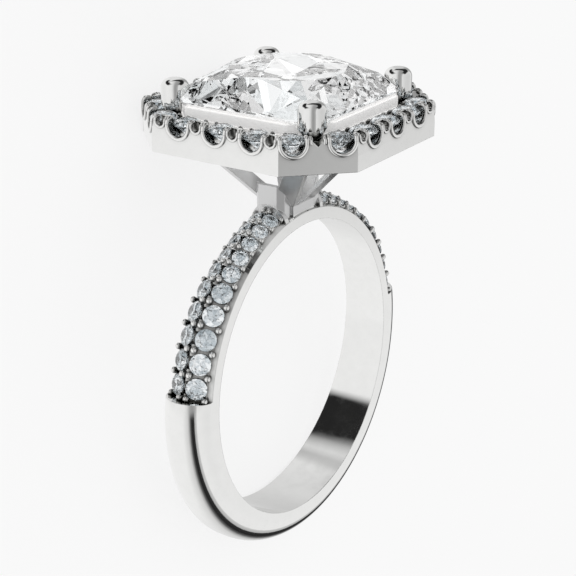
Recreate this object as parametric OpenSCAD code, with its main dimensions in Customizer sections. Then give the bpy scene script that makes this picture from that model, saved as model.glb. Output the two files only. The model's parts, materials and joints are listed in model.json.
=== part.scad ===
// Halo ring with a square centre stone, lying on its side as it rests by itself.
// The origin is the middle of the finger hole. Before the ring is laid down, +Y points
// to the head and +Z to the side that faces up. All sizes are millimetres.

/* [Finger hole] */
// Inside diameter of the ring
finger_d = 16.5; // [15:0.1:19]

/* [Shank] */
// Width of the shank beside the middle of the finger hole
shank_w = 2.6; // [2.5:0.02:3]
// Lean of each side face, which makes the shank wider away from the head
shank_lean = 1.31; // [0.8:0.05:1.6]
// Height of the flat side face above the finger hole
side_t = 0.72; // [0.66:0.02:1]
// Radius of the rounded outside of the plain shank
dome_r = 1.27; // [1.1:0.01:1.3]
// Shift of the rounded outside towards the head
dome_shift = 0.157; // [0.05:0.01:0.25]

/* [Shoulders] */
// Height of the flat side face along the stone rows
shoulder_side_t = 0.6; // [0.5:0.02:0.64]
// Height of the ridge between the two rows above the finger hole
ridge_t = 1.33; // [1.3:0.01:1.36]
// Height of the small stones' widest lines above the finger hole
row_t = 1.04; // [1:0.01:1.08]
// Tilt of each row away from the other
row_tilt = 27; // [24:0.5:30]
// Width of the sloping ledge beside the stones
ledge_w = 0.26; // [0.2:0.02:0.3]
// Height of this ledge
ledge_h = 0.14; // [0.1:0.02:0.16]
// Diameter of the small stones next to the head
small_d = 0.88; // [0.8:0.01:0.92]
// Diameter of the large stones at the far end of each row
large_d = 1.12; // [1.02:0.01:1.14]
// Distance of neighbouring stones in a row, as a share of their diameter
row_pitch = 1.13; // [1.12:0.01:1.16]
// Gap between the two rows
row_gap = 0.18; // [0.14:0.01:0.2]
// Width of the slots between the rows, one beside each pair of stones
ridge_slot_w = 0.3; // [0.26:0.01:0.32]
// Depth of these slots
ridge_slot_t = 0.45; // [0.36:0.01:0.48]
// Metal left at each end of the rows
end_gap = 0.1; // [0.08:0.01:0.2]
// Height of the wall that ends the rows at the head, above the finger hole
lip_t = 1.6; // [1.4:0.05:1.7]
// Thickness of that wall
lip_w = 0.3; // [0.2:0.02:0.36]

/* [Posts] */
// Distance of each post's outer face from the middle
post_out = 1.93; // [1.85:0.01:2.05]
// Width of a post
post_w = 1.76; // [1.6:0.02:1.8]
// Size of the bevels along its outer edges
post_bevel = 0.31; // [0.26:0.01:0.34]
// Height of the posts above the finger hole
post_h = 2.45; // [2.3:0.01:2.5]
// Depth of the flat seat between the posts, from each post's outer face
seat_in = 0.74; // [0.6:0.02:0.8]

/* [Basket] */
// Height of the flat seat between the posts, above the finger hole
bridge_t = 0.7; // [0.6:0.02:0.85]
// Half width of the block that the basket's bars rise from
block_half = 1; // [0.9:0.02:1.04]
// Height of the block's top above the finger hole
block_h = 1.2; // [1.1:0.02:1.3]
// Half width of the basket where the bars meet the halo
basket_half = 4.58; // [4.5:0.01:4.64]
// Width of each bar
bar_w = 1.24; // [1.1:0.02:1.3]
// Thickness of each bar
bar_t = 0.33; // [0.26:0.01:0.36]

/* [Halo] */
// Width of the halo across its long sides
halo_w = 13.16; // [13:0.02:13.4]
// Length that each corner cut takes off a side
halo_cut = 2.77; // [2.6:0.02:2.9]
// Height of the halo's lower edge above the finger hole
halo_lift = 4.79; // [4.6:0.02:5]
// Height of the halo's upright wall up to the faint line round it
apron_h = 0.82; // [0.7:0.02:0.9]
// Thickness of the wall
wall_t = 0.58; // [0.5:0.02:0.62]
// Lean of the wall above the faint line
wall_lean = 4; // [2:0.5:6]
// Height of the halo stones' widest line above the lower edge of the wall
girdle_h = 1.56; // [1.5:0.02:1.6]
// Height of the prongs above that line
prong_h = 0.32; // [0.24:0.02:0.38]
// Thickness of the plate that carries the stones
plate_t = 0.67; // [0.6:0.01:0.72]
// Diameter of a halo stone
halo_d = 1.5; // [1.42:0.01:1.54]
// Distance of the halo stones' centres from the outside of the wall
halo_inset = 0.76; // [0.74:0.01:0.8]
// Length at each end of a long side that the corner stones take from its three stones
side_end = 3.43; // [3.4:0.01:3.5]
// Distance of the two stones on a cut corner
corner_pitch = 2.3; // [2.2:0.02:2.34]
// Radius of the scallop in front of each stone
scallop_r = 0.62; // [0.56:0.01:0.66]
// Width of the bright rim round each scallop
scallop_rim = 0.09; // [0.05:0.01:0.1]
// Radius of the notch that splits each prong
notch_r = 0.28; // [0.22:0.01:0.3]
// Depth of these notches and of the rim's recess in the wall
notch_in = 0.42; // [0.3:0.02:0.5]

/* [Gallery] */
// Half width of the wall under the centre stone
gallery_half = 4.8; // [4.74:0.01:4.86]
// Length that each corner cut takes off that wall's side
gallery_cut = 1.75; // [1.6:0.05:1.9]
// Thickness of that wall
gallery_t = 0.7; // [0.6:0.05:0.75]
// Height of the thin rim on top of it
rim_h = 0.12; // [0.08:0.01:0.16]
// Step of this rim
rim_step = 0.08; // [0.05:0.01:0.12]

/* [Centre stone] */
// Width of the centre stone
centre_w = 9.2; // [9:0.02:9.3]
// Length that each cut corner takes off its side
centre_cut = 1.2; // [1.1:0.05:1.3]
// Height of its widest line above the lower edge of the halo
centre_h = 2.18; // [2.1:0.01:2.25]
// Height of its crown
crown_h = 1.38; // [1.3:0.02:1.44]
// Width of its table
table_w = 6.3; // [5.8:0.05:6.5]
// Depth of its pavilion
pavilion_h = 4; // [3.7:0.05:4.1]
// Thickness of its widest line
centre_edge = 0.14; // [0.08:0.01:0.2]

/* [Claws] */
// Distance of each claw's axis from the middle, along both sides
claw_pos = 4.15; // [4.1:0.01:4.2]
// Diameter of a claw
claw_d = 1.46; // [1.36:0.02:1.5]
// Diameter of a claw's foot between the halo stones
claw_foot_d = 0.88; // [0.8:0.02:0.96]
// Height of the claws above the centre stone's widest line
claw_h = 1.05; // [1:0.01:1.2]
// Rounding of a claw's top edge
claw_round = 0.46; // [0.3:0.02:0.5]

/* [Fit] */
// Gap between each stone and its seat
seat_gap = 0.02; // [0.01:0.005:0.04]

/* [Hidden] */
$fn = 96;

// Share of the way from small to large, for each stone of a shoulder row
shoulder_growth = [0, 0, 0, 0, 0.35, 0.85, 1, 1, 1, 1];
shoulder_count = len(shoulder_growth);
// Proportions of a round stone, as shares of its radius
round_table = 0.56;
round_break = 0.8;
round_crown = 0.32;
round_pavilion = 0.84;
round_lower = 0.22;
round_edge = 0.03;
// Hole under a halo stone and dimple under a shoulder stone, as shares of its diameter
halo_hole = 0.26;
shoulder_hole = 0.04;
// Levels of the centre stone from its point up to its widest line: share of its width and of the depth
pavilion_levels = [[0.07, 1], [0.36, 0.76], [0.72, 0.4], [1, 0]];
// Levels from its widest line up to the table: share of the way to the table and of the height
crown_levels = [[0, 0], [0.47, 0.54], [1, 1]];
// Length by which a cutting shape passes the metal
past = 3;
// Depth to which one piece of metal sinks into the next
root_t = 0.25;
// Metal inside the finger hole's circle that the hole takes away at the end
hole_stock = 0.4;
// Height of the opening above each stone's widest line
seat_opening = 0.5;
// Small step by which one edge stands clear of the next
edge_step = 0.04;
// Half length of a slot between two shoulder stones, as a share of their diameter
slot_share = 0.3;
// Rise of the large shoulder stones above the small ones, as a share of their difference
shoulder_rise = 0.45;

finger_r = finger_d / 2;
core_r = finger_r - hole_stock;
side_r = finger_r + side_t;
ledge_r = finger_r + shoulder_side_t;
ridge_r = finger_r + ridge_t;
row_r = finger_r + row_t;
lip_r = finger_r + lip_t;
outer_r = side_r + dome_r + past;
lip_half = shank_w / 2 - tan(shank_lean) * lip_r;

function shoulder_d(i) = small_d + (large_d - small_d) * shoulder_growth[i];
// Distance of a stone's widest line from the middle of the finger hole
function shoulder_r(i) = row_r + shoulder_rise * (shoulder_d(i) - small_d);
function degrees_at(length, r) = length / r * 180 / PI;
// Angle of the rows' end wall at the head, then of each stone, measured from the head
lip_end_a = asin((post_out + edge_step) / lip_r);
lip_start_a = lip_end_a - degrees_at(lip_w, lip_r);
first_a = lip_end_a + degrees_at(small_d / 2 + end_gap, row_r);
function shoulder_a(i) = i == 0 ? first_a : shoulder_a(i - 1)
    + degrees_at((shoulder_d(i - 1) + shoulder_d(i)) / 2 * row_pitch, shoulder_r(i));
last = shoulder_count - 1;
rows_end_a = shoulder_a(last) + degrees_at(shoulder_d(last) / 2 + end_gap, shoulder_r(last));

halo_half = halo_w / 2;
halo_z = finger_r + halo_lift;
apron_z = halo_z + apron_h;
girdle_z = halo_z + girdle_h;
prong_z = girdle_z + prong_h;
plate_z = girdle_z - 2 * edge_step;
corner_dist = (halo_w - halo_cut) / sqrt(2);
// The three stones of a long side share the length that the corner stones leave
side_pitch = (halo_w - 2 * side_end) / 3;
// Scallops spread a little further apart than their stones
scallop_spread = 1.05;
// Centres of the scallops and of the notches between them, and the foot of the corners' V
scallop_z = girdle_z + edge_step / 2;
notch_z = scallop_z + 2.5 * edge_step;
vee_z = girdle_z - 5 * edge_step;

centre_z = halo_z + centre_h;
gallery_z = centre_z - edge_step;
centre_half = centre_w / 2;
table_half = table_w / 2;
claw_z = centre_z + claw_h;

bridge_z = finger_r + bridge_t;
block_z = finger_r + block_h;
// The basket widens from its block to the plate of the halo
basket_top_z = plate_z - plate_t / 2;
basket_slope = (basket_half - block_half) / (basket_top_z - block_z);
function basket_at(z) = block_half + (z - block_z) * basket_slope;

// Tilt at which the lower edge of the halo and the edge of the shank both touch the floor
arc_y = side_r * cos(shank_lean) - dome_shift - (shank_w / 2 - dome_r) * sin(shank_lean);
arc_z = side_r * sin(shank_lean) + (shank_w / 2 - dome_r) * cos(shank_lean);
rest_tilt = acos(dome_r / norm([halo_half - arc_z, halo_z + arc_y]))
    - atan2(halo_z + arc_y, halo_half - arc_z);

halo_names = [for (i = [1:20]) str("halo_stone_", i < 10 ? "0" : "", i)];

// Laying down, and the frame of the head with +Z away from the finger

module at_rest() {
    rotate([rest_tilt, 0, 0]) children();
}

module on_head() {
    rotate([-90, 0, 0]) children();
}

// Shank

// Half of the shank's cross-section, from the middle plane to the side that faces up
module dome_profile() {
    half_w = shank_w / 2;
    translate([core_r, -past]) square([side_r - core_r, half_w + past]);
    translate([side_r, -past]) square([dome_r, half_w - dome_r + past]);
    intersection() {
        translate([side_r, half_w - dome_r]) circle(dome_r);
        translate([side_r, half_w - dome_r]) square(dome_r);
    }
}

// What is cut off beside the stone rows, above the side face and its sloping ledge
module ledge_profile() {
    half_w = shank_w / 2;
    polygon([
        [ledge_r, half_w], [ledge_r + ledge_h, half_w - ledge_w], [outer_r, half_w - ledge_w],
        [outer_r, half_w + past], [ledge_r, half_w + past]
    ]);
}

// What is cut off above the two beds of stones, which slope down from the ridge between them
module ridge_profile() {
    drop = past * tan(row_tilt);
    polygon([
        [ridge_r, 0], [ridge_r - drop, past], [outer_r, past], [outer_r, -past], [ridge_r - drop, -past]
    ]);
}

// Turns a profile about the finger hole between two angles measured from the head
module along_shoulder(from_a, to_a) {
    rotate_extrude(start = 90 - to_a, angle = to_a - from_a) children();
}

module shank_half() {
    intersection() {
        rotate([-shank_lean, 0, 0]) difference() {
            translate([0, dome_shift, 0]) rotate_extrude() dome_profile();
            along_shoulder(-rows_end_a, rows_end_a) ledge_profile();
        }
        translate([-outer_r, -outer_r, 0]) cube([2 * outer_r, 2 * outer_r, past]);
    }
}

module shank() {
    difference() {
        union() {
            shank_half();
            mirror([0, 0, 1]) shank_half();
        }
        along_shoulder(-rows_end_a, rows_end_a) ridge_profile();
        translate([seat_in - post_out, bridge_z, -past])
            cube([2 * (post_out - seat_in), outer_r, 2 * past]);
    }
}

// Thin wall with a rounded top that ends both rows at the head
module lip() {
    along_shoulder(lip_start_a, lip_end_a) intersection() {
        translate([core_r, -lip_half]) square([lip_r - core_r, 2 * lip_half]);
        translate([lip_r - lip_half, 0]) union() {
            circle(lip_half);
            translate([-outer_r, -lip_half]) square([outer_r, 2 * lip_half]);
        }
    }
}

// A post with an upright outer face and bevelled edges, whose back leans along the basket
module post() {
    foot_z = bridge_z - root_t;
    top_z = finger_r + post_h;
    half_w = post_w / 2;
    back = bar_t - edge_step;
    intersection() {
        translate([0, half_w, 0]) rotate([90, 0, 0]) linear_extrude(post_w) polygon([
            [post_out, foot_z], [post_out, top_z],
            [basket_at(top_z) - back, top_z], [basket_at(foot_z) - back, foot_z]
        ]);
        translate([0, 0, foot_z]) linear_extrude(post_h + past) polygon([
            [0, -half_w], [post_out - post_bevel, -half_w], [post_out, post_bevel - half_w],
            [post_out, half_w - post_bevel], [post_out - post_bevel, half_w], [0, half_w]
        ]);
    }
}

// Seats

// A cutting shape with the seat's cone, its opening above and a hole below it
module seat(d, drop, hole_r) {
    r = d / 2 + seat_gap;
    depth = round_pavilion * d / 2 + 1.5 * seat_gap;
    edge = round_edge * d / 2 + seat_gap;
    rotate_extrude() polygon([
        [0, -drop], [hole_r, -drop], [hole_r, -depth * (1 - hole_r / r) - edge],
        [r, -edge], [r, seat_opening], [0, seat_opening]
    ]);
}

// Puts a child at each shoulder stone of one side, with +Z out of the stone's table
module at_shoulder_stone(i) {
    row_y = (shoulder_d(i) * cos(row_tilt) + row_gap) / 2;
    for (side = [-1, 1])
        rotate([0, 0, -shoulder_a(i)]) translate([0, shoulder_r(i), side * row_y])
            rotate([side * row_tilt, 0, 0]) on_head() children();
}

module shoulder_seats() {
    for (i = [0:last]) at_shoulder_stone(i)
        seat(shoulder_d(i), round_pavilion * shoulder_d(i) / 2 + edge_step,
            shoulder_hole * shoulder_d(i));
}

// A deep slot between the two stones of each pair
module ridge_slots() {
    for (i = [0:last]) rotate([0, 0, -shoulder_a(i)])
        translate([-slot_share * shoulder_d(i), ridge_r - ridge_slot_t, -ridge_slot_w / 2])
            cube([2 * slot_share * shoulder_d(i), past, ridge_slot_w]);
}

// Puts a child on the halo's wall number k, with -Y out of the wall
function wall_dist(k) = k % 2 == 0 ? halo_half : corner_dist;
module on_wall(k) {
    rotate([0, 0, 45 * k]) translate([0, -wall_dist(k), 0]) children();
}

// Places of the stones along wall number k
function wall_stones(k) = k % 2 == 0 ? [-side_pitch, 0, side_pitch]
    : [-corner_pitch / 2, corner_pitch / 2];

module halo_seats() {
    for (k = [0:7]) on_wall(k) for (t = wall_stones(k))
        translate([t, halo_inset, girdle_z])
            seat(halo_d, plate_t + seat_opening, halo_hole * halo_d);
}

// Metal of the head, in the head's own frame

function octagon(half, cut) = [for (q = [0:3]) for (p = [[half, cut - half], [half, half - cut]])
    [p[0] * cos(90 * q) - p[1] * sin(90 * q), p[0] * sin(90 * q) + p[1] * cos(90 * q)]];

// Solid through rings of points at rising levels
module rings_solid(rings) {
    n = len(rings[0]);
    top = len(rings) - 1;
    polyhedron(
        points = [for (ring = rings) each ring],
        faces = concat(
            [[for (i = [0:n - 1]) i]],
            [for (k = [0:top - 1]) for (i = [0:n - 1])
                [k * n + i, k * n + n + i, k * n + n + (i + 1) % n, k * n + (i + 1) % n]],
            [[for (i = [n - 1:-1:0]) top * n + i]]
        )
    );
}

function level(ring, z) = [for (p = ring) [p[0], p[1], z]];

module octagon_plate(half, cut, z0, z1) {
    translate([0, 0, z0]) linear_extrude(z1 - z0) polygon(octagon(half, cut));
}

// A straight slot with a round bottom, cut into a wall from outside
module slot(r, depth) {
    translate([0, depth, 0]) rotate([90, 0, 0]) linear_extrude(depth + past) union() {
        circle(r);
        translate([-r, 0]) square([2 * r, past]);
    }
}

module wall_cuts(k) {
    on_wall(k) {
        for (t = wall_stones(k)) translate([t * scallop_spread, 0, scallop_z]) {
            slot(scallop_r, halo_inset);
            slot(scallop_r + scallop_rim, notch_in / 3);
        }
        if (k % 2 == 0) for (half_steps = [-3, -1, 1, 3])
            translate([half_steps * side_pitch / 2 * scallop_spread, 0, notch_z])
                slot(notch_r, notch_in);
        if (k % 2 == 1) translate([0, wall_t, vee_z]) rotate([90, -45, 0])
            linear_extrude(wall_t + past) square(past);
        translate([-halo_w, 0, apron_z]) rotate([-wall_lean, 0, 0])
            translate([0, -past, 0]) cube([2 * halo_w, past, past]);
    }
}

module halo() {
    inner_cut = wall_t * (2 - sqrt(2));
    difference() {
        union() {
            difference() {
                octagon_plate(halo_half, halo_cut, halo_z, prong_z);
                octagon_plate(halo_half - wall_t, halo_cut - inner_cut, halo_z - past,
                    prong_z + past);
            }
            octagon_plate(halo_half - wall_t / 2, halo_cut - inner_cut / 2,
                plate_z - plate_t, plate_z);
        }
        for (k = [0:7]) wall_cuts(k);
    }
}

module gallery() {
    octagon_plate(gallery_half, gallery_cut, plate_z - root_t, gallery_z - rim_h);
    octagon_plate(gallery_half - rim_step, gallery_cut, plate_z, gallery_z);
}

// Opening in the middle of the plate and the gallery wall
module head_hole() {
    hole_cut = gallery_cut - gallery_t * (2 - sqrt(2));
    octagon_plate(gallery_half - gallery_t, hole_cut, basket_top_z, gallery_z + past);
}

// Four flat bars that rise from a block, each in one face of a pyramid and along one of its edges
module basket() {
    foot_z = block_z - root_t;
    top_z = basket_top_z + root_t / 2;
    function bar_ring(z) = let (h = basket_at(z))
        [[-h, -h], [bar_t - h, -h], [bar_t - h, bar_w - h], [-h, bar_w - h]];
    translate([-block_half, -block_half, bridge_z - root_t])
        cube([2 * block_half, 2 * block_half, block_z - bridge_z + root_t]);
    for (k = [0:3]) rotate([0, 0, 90 * k])
        rings_solid([level(bar_ring(foot_z), foot_z), level(bar_ring(top_z), top_z)]);
}

module claw() {
    translate([claw_pos, claw_pos, 0]) rotate_extrude() union() {
        foot_z = plate_z - plate_t / 2;
        waist_z = gallery_z - root_t;
        polygon([
            [0, foot_z], [claw_foot_d / 2, foot_z], [claw_foot_d / 2, plate_z],
            [claw_d / 2, waist_z], [claw_d / 2, claw_z - claw_round], [0, claw_z - claw_round]
        ]);
        translate([0, claw_z - claw_round]) square([claw_d / 2 - claw_round, claw_round]);
        intersection() {
            translate([claw_d / 2 - claw_round, claw_z - claw_round]) circle(claw_round);
            translate([claw_d / 2 - claw_round, claw_z - claw_round]) square(claw_round);
        }
    }
}

module head() {
    difference() {
        union() {
            halo();
            gallery();
            basket();
            for (k = [0:3]) rotate([0, 0, 90 * k]) claw();
        }
        head_hole();
        halo_seats();
        centre_shape(seat_gap);
    }
}

// Stones

// The centre stone, or with a positive grow the space that its seat leaves for it
module centre_shape(grow) {
    cut = centre_cut;
    table_cut = cut * table_w / centre_w;
    function between(a, b, share) = a + (b - a) * share;
    rings_solid(concat(
        [for (l = pavilion_levels)
            level(octagon(centre_half * l[0] + grow, cut * l[0]), centre_z - pavilion_h * l[1] - grow)],
        [for (l = crown_levels)
            level(octagon(between(centre_half, table_half, l[0]) + grow, between(cut, table_cut, l[0])),
                between(centre_z + centre_edge, centre_z + crown_h, l[1]) + grow)]
    ));
}

// A round stone with a table, eight kites, and star, upper and lower facets
module round_stone(d) {
    r = d / 2;
    table_r = round_table * r;
    break_r = round_break * r;
    edge = round_edge * r;
    crown = round_crown * r;
    slope = (crown - edge) / (r - table_r);
    break_z = crown - (break_r * cos(22.5) - table_r) * slope;
    lower_slope = (round_pavilion * r - edge) / r;
    lower_r = round_lower * r;
    lower_z = lower_r * cos(22.5) * lower_slope - round_pavilion * r;
    function ring(ring_r, z, n, turn) = [for (i = [0:n - 1])
        [ring_r * cos(360 / n * i + turn), ring_r * sin(360 / n * i + turn), z]];
    table_at = 0;
    break_at = 8;
    top_at = 16;
    bottom_at = 32;
    lower_at = 48;
    culet_at = 56;
    polyhedron(
        points = concat(
            ring(table_r, crown, 8, 0), ring(break_r, break_z, 8, 22.5),
            ring(r, edge, 16, 0), ring(r, -edge, 16, 0),
            ring(lower_r, lower_z, 8, 22.5), [[0, 0, -round_pavilion * r]]
        ),
        faces = concat(
            [[for (i = [7:-1:0]) table_at + i]],
            [for (i = [0:7]) [table_at + i, table_at + (i + 1) % 8, break_at + i]],
            [for (i = [0:7])
                [table_at + i, break_at + i, top_at + 2 * i, break_at + (i + 7) % 8]],
            [for (i = [0:7]) [break_at + i, top_at + 2 * i + 1, top_at + 2 * i]],
            [for (i = [0:7])
                [break_at + i, top_at + (2 * i + 2) % 16, top_at + 2 * i + 1]],
            [for (i = [0:15])
                [top_at + i, top_at + (i + 1) % 16, bottom_at + (i + 1) % 16, bottom_at + i]],
            [for (i = [0:7]) [bottom_at + 2 * i, bottom_at + 2 * i + 1, lower_at + i]],
            [for (i = [0:7])
                [bottom_at + 2 * i + 1, bottom_at + (2 * i + 2) % 16, lower_at + i]],
            [for (i = [0:7])
                [culet_at, lower_at + (i + 7) % 8, bottom_at + 2 * i, lower_at + i]]
        )
    );
}

// Nodes

module metal() {
    color([0.86, 0.86, 0.85]) at_rest() difference() {
        union() {
            difference() {
                union() {
                    shank();
                    for (side = [0, 1]) mirror([side, 0, 0]) {
                        lip();
                        on_head() post();
                    }
                }
                for (side = [0, 1]) mirror([side, 0, 0]) {
                    shoulder_seats();
                    ridge_slots();
                }
            }
            on_head() head();
        }
        translate([0, 0, -past]) cylinder(r = finger_r, h = 2 * past);
    }
}

module centre_stone() {
    color([0.93, 0.96, 0.98]) at_rest() on_head() centre_shape(0);
}

// Stone number i of the halo, counted wall by wall
module halo_stone(i) {
    wall = [for (k = [0:7]) for (t = wall_stones(k)) [k, t]][i];
    color([0.85, 0.9, 0.95]) at_rest() on_head() on_wall(wall[0])
        translate([wall[1], halo_inset, girdle_z]) round_stone(halo_d);
}

module shoulder_stones() {
    for (i = [0:last]) at_shoulder_stone(i) round_stone(shoulder_d(i));
}

module shoulder_stones_left() {
    color([0.85, 0.9, 0.95]) at_rest() mirror([1, 0, 0]) shoulder_stones();
}

module shoulder_stones_right() {
    color([0.85, 0.9, 0.95]) at_rest() shoulder_stones();
}

metal();
centre_stone();
for (i = [0:19]) {
    halo_stone(i);
}
shoulder_stones_left();
shoulder_stones_right();
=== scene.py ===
# %% [markdown]
# A halo ring of polished white metal lies on its side on a pale floor. Its solids come packed, in metres
# and in place, so this script gives them their finish, adds the small claws and beads that hold the
# stones, and lights the whole as a jeweller's photographer would.

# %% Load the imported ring
import json
import math

import bmesh
import bpy
from mathutils import Matrix, Vector


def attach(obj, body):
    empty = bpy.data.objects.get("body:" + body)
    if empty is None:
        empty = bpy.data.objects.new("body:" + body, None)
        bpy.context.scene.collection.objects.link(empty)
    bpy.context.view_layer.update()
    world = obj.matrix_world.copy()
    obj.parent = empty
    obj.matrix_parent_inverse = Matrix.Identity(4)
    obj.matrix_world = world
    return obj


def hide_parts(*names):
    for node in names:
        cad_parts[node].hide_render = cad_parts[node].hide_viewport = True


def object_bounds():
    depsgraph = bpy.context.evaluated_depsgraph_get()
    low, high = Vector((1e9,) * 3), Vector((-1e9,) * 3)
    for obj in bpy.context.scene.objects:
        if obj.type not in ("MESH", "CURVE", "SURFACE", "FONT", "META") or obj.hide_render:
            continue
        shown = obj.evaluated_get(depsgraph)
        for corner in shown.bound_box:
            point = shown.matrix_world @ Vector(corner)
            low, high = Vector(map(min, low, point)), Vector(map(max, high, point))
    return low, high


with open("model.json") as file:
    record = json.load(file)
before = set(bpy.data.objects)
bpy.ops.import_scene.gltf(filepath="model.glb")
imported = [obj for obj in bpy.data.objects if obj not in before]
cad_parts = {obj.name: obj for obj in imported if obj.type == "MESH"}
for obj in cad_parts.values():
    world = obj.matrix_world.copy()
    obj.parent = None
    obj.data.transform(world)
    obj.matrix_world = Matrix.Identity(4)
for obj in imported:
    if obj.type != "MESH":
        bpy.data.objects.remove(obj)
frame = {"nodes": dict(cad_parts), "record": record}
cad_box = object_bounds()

MM = 0.001
nodes = frame["nodes"]
bore = next(m for m in frame["record"]["mounts"] if m["name"] == "finger_bore")
print("pieces:", len(nodes), "finger hole:", 2 * bore["dims"]["r_mm"], "mm")

# %% [markdown]
# A ring that lies on its side leans on the edge of its head, so the finger hole's axis isn't upright.
# It is easier to think in the ring's own directions: x across, y along the finger and z towards the
# head. The axis of the hole gives the lean, and one matrix turns the ring's directions into the room's.

# %% The ring's own directions
axis = Vector(bore["axis"])
lean = math.atan2(-axis.y, axis.z)
RING = Matrix.Rotation(lean - math.pi / 2, 4, "X")
TO_RING = RING.inverted()
HEAD = Vector((0, 0, 1))


def ring_point(x, y, z):
    """A point in millimetres in the ring's own directions, as a place in the room."""
    return RING @ (Vector((x, y, z)) * MM)


print("the ring leans by", round(math.degrees(lean), 2), "degrees")

# %% [markdown]
# The camera is a long lens close to the head, a little above the front of the ring. Its place and aim
# are given in the ring's own directions, so the ring fills the picture as in the reference.

# %% Camera
CAMERA_AT = (-65.41, -43.44, 35.50)
CAMERA_AIM = (1.34, 0.89, 3.71)
LENS = 97.3
SENSOR = 36.0
NEAREST = 0.002
FARTHEST = 20


def look(camera, place, aim, up):
    """Puts the camera at a place and turns it towards an aim."""
    back = (place - aim).normalized()
    side = up.cross(back).normalized()
    turn = Matrix((side, back.cross(side), back)).transposed().to_4x4()
    camera.matrix_world = Matrix.Translation(place) @ turn


camera_data = bpy.data.cameras.new("camera")
camera_data.lens = LENS
camera_data.sensor_width = SENSOR
camera_data.clip_start = NEAREST
camera_data.clip_end = FARTHEST
camera = bpy.data.objects.new("camera", camera_data)
bpy.context.scene.collection.objects.link(camera)
bpy.context.scene.camera = camera
look(camera, ring_point(*CAMERA_AT), ring_point(*CAMERA_AIM), RING.to_3x3() @ HEAD)
print("camera:", LENS, "mm lens,", round(Vector(CAMERA_AT).length), "mm from the hole's middle")

# %% [markdown]
# The floor, the light, the finishes and the trees that make the pins are all built from nodes. The same
# three steps come back in all of them: an empty material, a sum, and a mix of two values. Each step gets
# a function, so that the cells below say what is summed or mixed, and not how it is wired.

# %% Tools for the node trees
# Sockets of a mix of two colours: the one at share 0, the one at share 1 and the result
MIX_LOW = 6
MIX_HIGH = 7
MIX_RESULT = 2


def new_material(name):
    """An empty node material with its Principled shader."""
    material = bpy.data.materials.new(name)
    material.use_nodes = True
    return material, material.node_tree.nodes["Principled BSDF"]


def number(tree, operation, first, second=None, clamp=False):
    """Works out one or two numbers or sockets with each other, in any kind of tree."""
    node = tree.nodes.new("ShaderNodeMath")
    node.operation = operation
    node.use_clamp = clamp
    for value, socket in ((first, node.inputs[0]), (second, node.inputs[1])):
        if isinstance(value, bpy.types.NodeSocket):
            tree.links.new(value, socket)
        elif value is not None:
            socket.default_value = value
    return node.outputs[0]


def mixed(tree, share, low, high):
    """Mixes two colours or numbers by a share, in any shader's tree."""
    mix = tree.nodes.new("ShaderNodeMix")
    mix.data_type = "RGBA"
    tree.links.new(share, mix.inputs["Factor"])
    for socket, value in ((mix.inputs[MIX_LOW], low), (mix.inputs[MIX_HIGH], high)):
        if isinstance(value, bpy.types.NodeSocket):
            tree.links.new(value, socket)
        elif isinstance(value, float):
            socket.default_value = (value, value, value, 1)
        else:
            socket.default_value = value
    return mix.outputs[MIX_RESULT]


print("tools:", new_material.__name__, number.__name__, mixed.__name__)

# %% [markdown]
# The ring lies on a jeweller's light table: a matt white plate that glows, so that the ring's shadow
# stays faint. Most of the plate's brightness is its own light, and a little comes from the room. Metal
# doesn't mirror the plate, as if it stood on clear glass, so that the tent draws all its reflections.

# %% Floor
FLOOR_SIZE = 3.0
TABLE_TONE = 0.15
TABLE_GLOW = 0.80
TABLE_ROUGH = 0.9
floor_z = cad_box[0].z


def floor_mesh():
    """A square plate just under the ring."""
    half = FLOOR_SIZE / 2
    mesh = bpy.data.meshes.new("floor")
    around = ((-half, -half), (half, -half), (half, half), (-half, half))
    mesh.from_pydata([(x, y, floor_z) for x, y in around], [], [(0, 1, 2, 3)])
    return mesh


floor = bpy.data.objects.new("floor", floor_mesh())
bpy.context.scene.collection.objects.link(floor)
floor_paint, shader = new_material("pale_floor")
shader.inputs["Base Color"].default_value = (TABLE_TONE, TABLE_TONE, TABLE_TONE, 1)
shader.inputs["Emission Color"].default_value = (1, 1, 1, 1)
shader.inputs["Emission Strength"].default_value = TABLE_GLOW
shader.inputs["Roughness"].default_value = TABLE_ROUGH
shader.inputs["Specular IOR Level"].default_value = 0.0
floor.data.materials.append(floor_paint)
paint = floor_paint.node_tree
ray = paint.nodes.new("ShaderNodeLightPath")
through = paint.nodes.new("ShaderNodeBsdfTransparent")
either = paint.nodes.new("ShaderNodeMixShader")
paint.links.new(ray.outputs["Is Glossy Ray"], either.inputs["Fac"])
paint.links.new(shader.outputs["BSDF"], either.inputs[1])
paint.links.new(through.outputs["BSDF"], either.inputs[2])
paint.links.new(either.outputs["Shader"], paint.nodes["Material Output"].inputs["Surface"])
print("floor:", round(-floor_z / MM, 2), "mm under the middle of the finger hole")

# %% [markdown]
# Polished metal has no colour of its own to speak of: it shows the room. Lamps would leave small hot
# spots on it, so the room is a white tent, with a slanting dark gap low down and a dark ring high up that
# draw the black lines which make a polished edge readable. A matt floor would turn grey under such a
# tent, so its light comes from an even white. Light that comes through the stones meets a third tent:
# nearly white, with narrow gaps, for crisp but light facets.

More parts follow.
